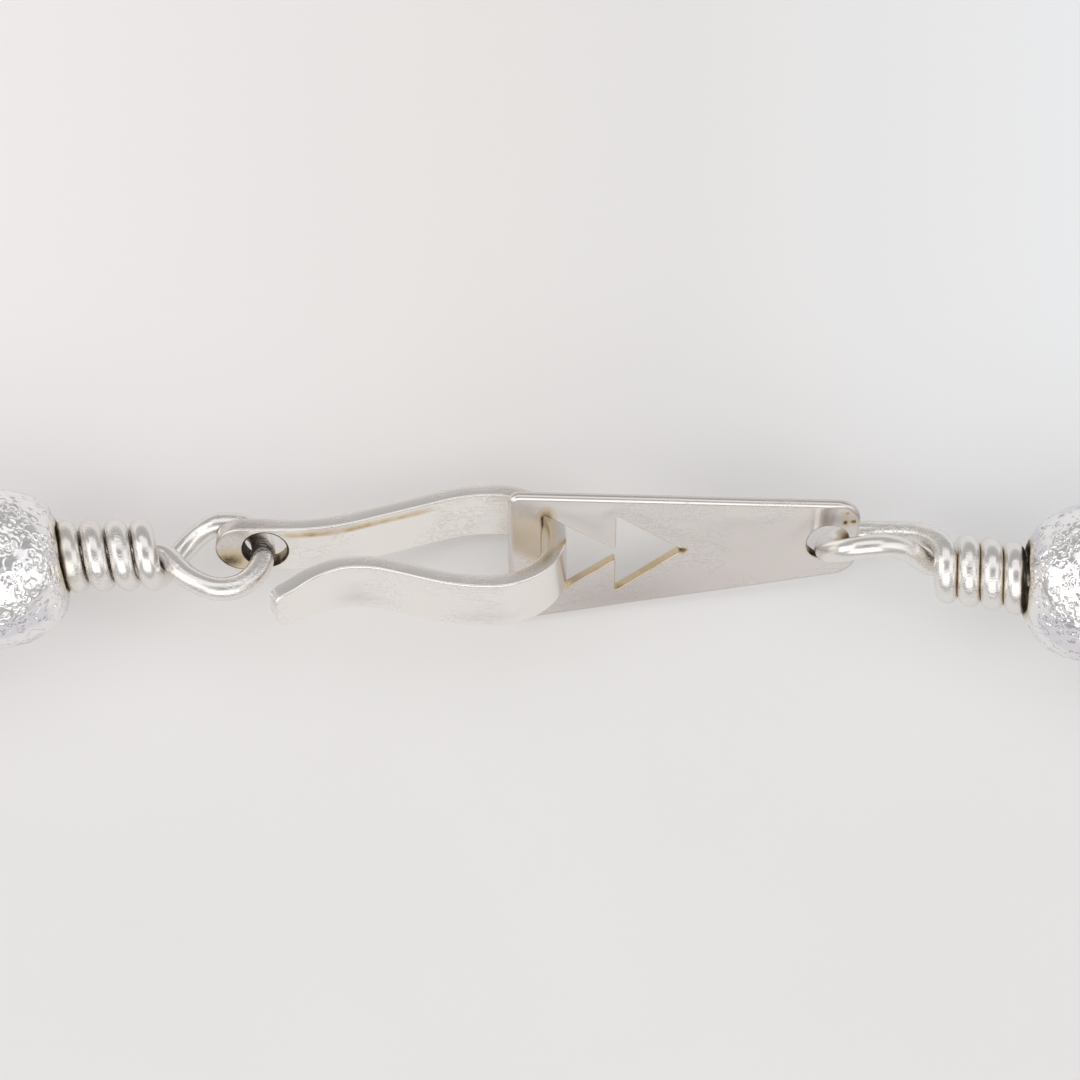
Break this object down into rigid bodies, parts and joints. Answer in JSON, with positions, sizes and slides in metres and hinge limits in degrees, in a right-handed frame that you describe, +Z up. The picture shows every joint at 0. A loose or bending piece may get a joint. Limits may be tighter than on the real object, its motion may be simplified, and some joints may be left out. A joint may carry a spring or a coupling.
{
  "type": "silver bead necklace",
  "caption": "Necklace of textured hollow silver beads on a chain, closed by a bent strap hook in a pierced, tapered catch plate.",
  "frame": {"origin": "middle of the loop's box, on the surface that the necklace lies on", "axes": "+X along the clasp from the hook's link to the catch plate's link, +Y from the loop's front toward the clasp, +Z up from the surface"},
  "size_m": [0.1812, 0.1438, 0.012],
  "materials": {
    "bead_silver": "silver with a pitted, matted surface, soft shine",
    "clasp_silver": "hand-polished silver sheet with fine scratches and light tarnish",
    "wire_silver": "polished silver wire, dark between the wraps",
    "chain_silver": "fine woven silver chain, dull"
  },
  "bodies": {
    "root": {"hook": "clasp_silver", "catch_plate": "clasp_silver", "link_left": "wire_silver", "link_right": "wire_silver", "chain": "chain_silver", "bead_01": "bead_silver", "bead_02": "bead_silver", "bead_03": "bead_silver", "bead_04": "bead_silver", "bead_05": "bead_silver", "bead_06": "bead_silver", "bead_07": "bead_silver", "bead_08": "bead_silver", "bead_09": "bead_silver", "bead_10": "bead_silver", "bead_11": "bead_silver", "bead_12": "bead_silver", "bead_13": "bead_silver", "bead_14": "bead_silver", "bead_15": "bead_silver", "bead_16": "bead_silver", "bead_17": "bead_silver", "bead_18": "bead_silver", "bead_19": "bead_silver", "bead_20": "bead_silver", "bead_21": "bead_silver", "bead_22": "bead_silver", "bead_23": "bead_silver", "bead_24": "bead_silver", "bead_25": "bead_silver", "bead_26": "bead_silver", "bead_27": "bead_silver", "bead_28": "bead_silver", "bead_29": "bead_silver", "bead_30": "bead_silver", "bead_31": "bead_silver", "bead_32": "bead_silver", "bead_33": "bead_silver", "bead_34": "bead_silver"}
  },
  "joints": []
}
